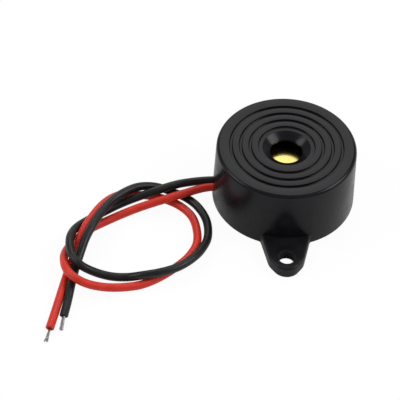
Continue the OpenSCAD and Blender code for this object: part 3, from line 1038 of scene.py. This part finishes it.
@dataclass
class Lead:
    """An insulated stranded lead with its bare end."""

    colour: str
    finish: Finish
    # Finish of the hollow cut end; the red lead's is painted light that lifts the shade in the
    # hollow.
    inside: Finish
    route: Sequence[Point]
    length: float
    bare: BareEnd
    diameter: float = 1.8 * MM
    hole_d: float = 1.06 * MM
    hollow: float = 0.2 * MM
    rounding: float = 0.07 * MM
    rounding_slope: float = 0.5
    trimmed: float = 0.02 * MM
    samples: int = 8
    tube_arc: int = 7
    strand_arc: int = 2
    tube_sharp_angle: float = 40
    strand_sharp_angle: float = 50

    def path(self) -> list[Point]:
        """Runs a smooth line through the route's points, never under the floor.

        Returns:
            Points along the line, in metres.
        """
        stops = [Vector(stop) * MM for stop in self.route]
        stops = [2 * stops[0] - stops[1], *stops, 2 * stops[-1] - stops[-2]]
        line: list[Point] = []
        for a, b, c, d in zip(stops, stops[1:], stops[2:], stops[3:]):
            for step in range(self.samples):
                t = step / self.samples
                spot = (
                    2 * b
                    + (c - a) * t
                    + (2 * a - 5 * b + 4 * c - d) * t**2
                    + (3 * b - a - 3 * c + d) * t**3
                ) / 2
                line.append((spot.x, spot.y, max(spot.z, self.diameter / 2)))
        line.append(tuple(stops[-2]))
        return line

    @staticmethod
    def swept(
        name: str, lines: Sequence[Sequence[Point]], r: float, arc: int
    ) -> bpy.types.Object:
        """Draws round solid tubes along lines, as one mesh.

        Args:
            name: Name of the mesh.
            lines: Points along each tube.
            r: Radius of the tubes.
            arc: Steps in a quarter of their section, less one.

        Returns:
            The mesh, which is active.
        """
        curve = bpy.data.curves.new(name, "CURVE")
        curve.dimensions = "3D"
        for line in lines:
            spline = curve.splines.new("POLY")
            spline.points.add(len(line) - 1)
            for knot, spot in zip(spline.points, line):
                knot.co = (*spot, 1)
        curve.bevel_depth = r
        curve.bevel_resolution = arc
        curve.use_fill_caps = True
        tube = bpy.data.objects.new(name, curve)
        bpy.context.collection.objects.link(tube)
        Bench.take(tube)
        bpy.ops.object.convert(target="MESH")
        tube = bpy.context.object
        bpy.ops.object.mode_set(mode="EDIT")
        Bench.weld(FINE_WELD_GAP)
        return tube

    def insulation(self, line: Sequence[Point]) -> bpy.types.Object:
        """Models the insulation, cut aslant and hollow at its end.

        Args:
            line: Points along the lead's path.

        Returns:
            The insulation.
        """
        end = Vector(line[-1])
        way = (end - Vector(line[-2])).normalized()
        r = self.diameter / 2
        tube = self.swept(f"{self.colour}_insulation", [line], r, self.tube_arc)
        tube.data.materials.append(self.finish.build())
        tube.data.materials.append(self.inside.build())
        tilt = math.radians(self.bare.slant)
        cut = (way * math.cos(tilt) - Vector((0, 0, 1)) * math.sin(tilt)).normalized()
        top = end + Vector((0, 0, r)) - way * self.trimmed
        bpy.ops.mesh.select_all(action="SELECT")
        bpy.ops.mesh.bisect(plane_co=top, plane_no=cut, clear_outer=True, use_fill=True)
        bpy.ops.mesh.select_mode(type="FACE")
        bpy.ops.mesh.inset(
            thickness=self.rounding, depth=self.rounding * self.rounding_slope
        )
        bpy.ops.mesh.inset(thickness=r - self.hole_d / 2 - self.rounding)
        bpy.ops.mesh.extrude_region_move(TRANSFORM_OT_translate={"value": -cut * self.hollow})
        bpy.ops.mesh.select_more()
        # The hollow end takes the inside finish, which is painted light on the red lead.
        tube.active_material_index = 1
        bpy.ops.object.material_slot_assign()
        bpy.ops.mesh.select_mode(type="VERT")
        Bench.clear()
        Bench.smooth(tube, self.tube_sharp_angle)
        return tube

    def build(self) -> None:
        line = self.path()
        tube = self.insulation(line)
        end = Vector(line[-1])
        way = (end - Vector(line[-2])).normalized()
        strands = self.bare.lines(end, way, self.hollow * 2)
        strand_r = self.bare.strand_d / 2
        tip = self.swept(f"{self.colour}_tinned_end", strands, strand_r, self.strand_arc)
        Bench.smooth(tip, self.strand_sharp_angle)
        dress(tip, TINNED)
        for piece, node, slot in (
            (tube, f"{self.colour}_lead", f"pvc_{self.colour}"),
            (tip, f"{self.colour}_tip", "tinned_wire"),
        ):
            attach(piece, ROOT)
            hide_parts(node)
        LOG.info("%s lead: %d points on its path", self.colour, len(line))


BLACK_END = BareEnd(
    slant=10,
    droop=0.0,
    sag=0.4 * MM,
    lean=-0.15 * MM,
    root_r=0.25 * MM,
    end_r=0.28 * MM,
    fork=0.1,
    strand_d=0.24 * MM,
)
RED_END = BareEnd(
    slant=6,
    droop=0.28 * MM,
    sag=0.2 * MM,
    lean=0.0,
    root_r=0.14 * MM,
    end_r=0.28 * MM,
    fork=0.4,
)
BLACK_ROUTE = [
    (-9, 1, 2.5), (-16, 1, 2.5), (-21.2, -0.1, 2.8), (-24.6, -1.4, 3), (-28.1, -2.9, 2.8),
    (-31.7, -3.9, 2), (-35.3, -5.2, 1.2), (-38.7, -7.3, 0.9), (-42.1, -10, 1.1),
    (-44.6, -13.8, 2.6), (-45.6, -18, 3.9), (-45, -22.5, 4.3), (-43.2, -25.1, 4),
    (-40.3, -25.9, 2.7), (-36.9, -26.3, 1.8), (-33.4, -26.3, 1.6), (-29.9, -26.6, 2.7),
    (-26.4, -26, 3), (-23, -24.5, 2.9), (-20.1, -22, 2.6), (-17.9, -18.6, 1.9),
    (-16.5, -14.3, 1.1), (-16.7, -9.5, 0.9), (-18.5, -5.5, 0.9), (-21, -2.9, 0.9),
    (-24, -1.2, 0.9), (-27.3, -0.3, 1.5), (-30.8, -1.2, 2.6), (-33.8, -3.3, 3.4),
    (-36.9, -6.5, 3.8), (-39.3, -10.7, 4.2), (-41, -14.6, 4.3), (-42.3, -17.7, 3.8),
    (-43.3, -20.9, 2.8), (-44.2, -24.5, 2.1), (-44.9, -28.5, 1.7), (-45.5, -32.5, 1.1),
    (-46.2, -36.6, 0.9),
]  # fmt: skip
RED_ROUTE = [
    (-9, -1, 2.5), (-16, -1, 2.5), (-21.6, -3.3, 2.8), (-25, -4.8, 2.8), (-28.5, -5.8, 2.2),
    (-31.9, -6.9, 1.6), (-35.3, -8.4, 1.1), (-38.6, -10.3, 0.9), (-41.6, -12.4, 0.9),
    (-44, -15, 0.9), (-46, -17.9, 1), (-46.7, -21.7, 2.2), (-45.9, -26.2, 3.6),
    (-43.7, -28.8, 3.7), (-41, -29.5, 2.8), (-37.7, -29.4, 1.9), (-34.2, -28.9, 1.4),
    (-30.5, -27.8, 1), (-26.8, -25.7, 0.9), (-23.4, -22.9, 0.9), (-20.6, -19.8, 0.9),
    (-18.9, -16.2, 0.9), (-18.8, -12.3, 0.9), (-19.8, -8.4, 0.9), (-22.1, -5.5, 0.9),
    (-24.9, -3.7, 0.9), (-28.2, -2.5, 0.9), (-31.5, -2.2, 0.9), (-34.6, -2.6, 1.5),
    (-37.1, -4.5, 2.3), (-39.2, -7.2, 2.8), (-40.9, -10.4, 3.2), (-42.4, -13.6, 3.2),
    (-43.6, -16.8, 2.6), (-44.5, -20, 1.4), (-45.6, -23.8, 0.9), (-46.5, -28, 0.9),
    (-47.3, -32, 0.9), (-48.1, -36, 0.9), (-48.9, -39.8, 0.9),
]  # fmt: skip


# ---------------------------------------------------------------- studio


@dataclass(frozen=True)
class Viewpoint:
    """The camera, by the point that it aims at, its direction and its lens."""

    aim: Point = (-18.05 * MM, -2.54 * MM, 0.0)
    distance: float = 433.7 * MM
    azimuth: float = 2.216
    elevation: float = 47.006
    roll: float = 2.564
    lens: float = 180.0
    sensor: float = 36.0
    near: float = 10 * MM

    def build(self) -> None:
        """Places the camera and makes it the scene's own."""
        ahead = heading(self.azimuth, -self.elevation)
        data = bpy.data.cameras.new("camera")
        data.lens, data.sensor_width = self.lens, self.sensor
        data.clip_start = self.near
        camera = bpy.data.objects.new("camera", data)
        bpy.context.collection.objects.link(camera)
        tilt = Matrix.Rotation(math.radians(self.roll), 4, "Z")
        place = Matrix.Translation(Vector(self.aim) - ahead * self.distance)
        camera.matrix_world = place @ facing(ahead) @ tilt
        bpy.context.scene.camera = camera


@dataclass(frozen=True)
class Softbox:
    """A square lamp that faces the object."""

    name: str
    azimuth: float
    elevation: float
    distance: float
    side: float
    radiance: float

    def build(self) -> None:
        """Places the lamp, with its power worked out from its radiance and size."""
        away = heading(self.azimuth, self.elevation)
        lamp = bpy.data.lights.new(self.name, "AREA")
        lamp.shape = "SQUARE"
        lamp.size = self.side
        lamp.energy = self.radiance * math.pi * self.side**2
        box = bpy.data.objects.new(self.name, lamp)
        bpy.context.collection.objects.link(box)
        box.matrix_world = Matrix.Translation(away * self.distance) @ facing(-away)


@dataclass
class Studio:
    """White floor, white surroundings and soft lamps."""

    floor_side: float = 3.0
    floor_drop: float = 0.02 * MM
    floor_white: float = 0.85
    floor_glow: float = 1.02
    ambient: float = 0.4
    glow: float = 0.92
    mirrored_glow: float = 0.3
    ceiling: float = 0.3
    wall_top: Pair = (0.02, 0.1)
    lamps: Sequence[Softbox] = (
        Softbox("back_softbox", 0, 47, 0.8, 0.55, 1.65),
        Softbox("right_softbox", 92, 44, 0.8, 0.42, 5.0),
        Softbox("left_softbox", -88, 42, 0.8, 0.36, 4.0),
    )

    @staticmethod
    def rays(nodes: Nodes) -> tuple[bpy.types.NodeSocket, bpy.types.NodeSocket]:
        """Finds the rays that see the background, straight or in a mirror or glass.

        Args:
            nodes: The tree that the tests are added to.

        Returns:
            A socket that is 1 for straight rays, and one that is 1 for the others.
        """
        path = nodes.add("LightPath")
        mirrored = nodes.maths(
            "ADD", path.outputs["Is Glossy Ray"], path.outputs["Is Transmission Ray"]
        )
        return path.outputs["Is Camera Ray"], nodes.maths("MINIMUM", mirrored, 1.0)

    def floor(self) -> None:
        """Lays the floor, which glows white where it is seen and keeps the object's shadow."""
        Bench.clear()
        bpy.ops.mesh.primitive_plane_add(
            size=self.floor_side, location=(0, 0, -self.floor_drop)
        )
        floor = bpy.context.object
        floor.name = "floor"
        material = bpy.data.materials.new("floor_white")
        material.use_nodes = True
        material.node_tree.nodes.clear()
        nodes = Nodes(material.node_tree)
        tone = (self.floor_white,) * 3
        lit = nodes.add("BsdfDiffuse", Color=(*tone, 1))
        glow = nodes.add("Emission", Color=(1, 1, 1, 1), Strength=self.floor_glow)
        straight, mirrored = self.rays(nodes)
        share = nodes.maths(
            "MAXIMUM",
            nodes.maths("MULTIPLY", straight, self.glow),
            nodes.maths("MULTIPLY", mirrored, self.mirrored_glow),
        )
        mix = nodes.add("MixShader", Fac=share)
        material.node_tree.links.new(lit.outputs[0], mix.inputs[1])
        material.node_tree.links.new(glow.outputs[0], mix.inputs[2])
        out = nodes.add("OutputMaterial")
        material.node_tree.links.new(mix.outputs[0], out.inputs["Surface"])
        floor.data.materials.append(material)

    def world(self) -> None:
        """Surrounds the scene with white that lights the object softly."""
        world = bpy.data.worlds.new("surroundings")
        bpy.context.scene.world = world
        world.use_nodes = True
        world.node_tree.nodes.clear()
        nodes = Nodes(world.node_tree)
        way = nodes.add("SeparateXYZ", Vector=nodes.add("TexCoord").outputs["Generated"])
        low, high = self.wall_top
        walls = nodes.add(
            "MapRange",
            Value=way.outputs["Z"],
            From_Min=low,
            From_Max=high,
            To_Min=1.0,
            To_Max=self.ceiling,
        ).outputs["Result"]
        straight, mirrored = self.rays(nodes)
        seen = nodes.maths("ADD", straight, nodes.maths("MULTIPLY", mirrored, walls))
        unseen = nodes.maths("SUBTRACT", 1.0, nodes.maths("ADD", straight, mirrored))
        soft = nodes.maths("MULTIPLY", unseen, self.ambient)
        strength = nodes.maths("ADD", seen, soft)
        light = nodes.add("Background", Color=(1, 1, 1, 1), Strength=strength)
        out = nodes.add("OutputWorld")
        world.node_tree.links.new(light.outputs[0], out.inputs["Surface"])

    def build(self) -> None:
        """Sets up floor, surroundings and lamps."""
        self.floor()
        self.world()
        for lamp in self.lamps:
            lamp.build()
        bpy.context.scene.view_settings.view_transform = "Standard"
        LOG.info("studio: %d lamps", len(self.lamps))


# ---------------------------------------------------------------- whole


def main() -> None:
    """Builds the camera, the leads, the case, the inner finishes and the studio."""
    logging.basicConfig(level=logging.INFO, format="%(name)s: %(message)s")
    Viewpoint().build()
    Lead("black", PVC_BLACK, PVC_BLACK, BLACK_ROUTE, 151 * MM, BLACK_END).build()
    Lead("red", PVC_RED, RED_HOLLOW_PAINTED_LIGHT, RED_ROUTE, 152 * MM, RED_END).build()
    Case().build()
    for node, finish in FRAME_FINISHES.items():
        dress(frame["nodes"][node], finish)
        LOG.info("%s: %s", node, finish.name)
    Studio().build()


if __name__ == "__main__":
    main()
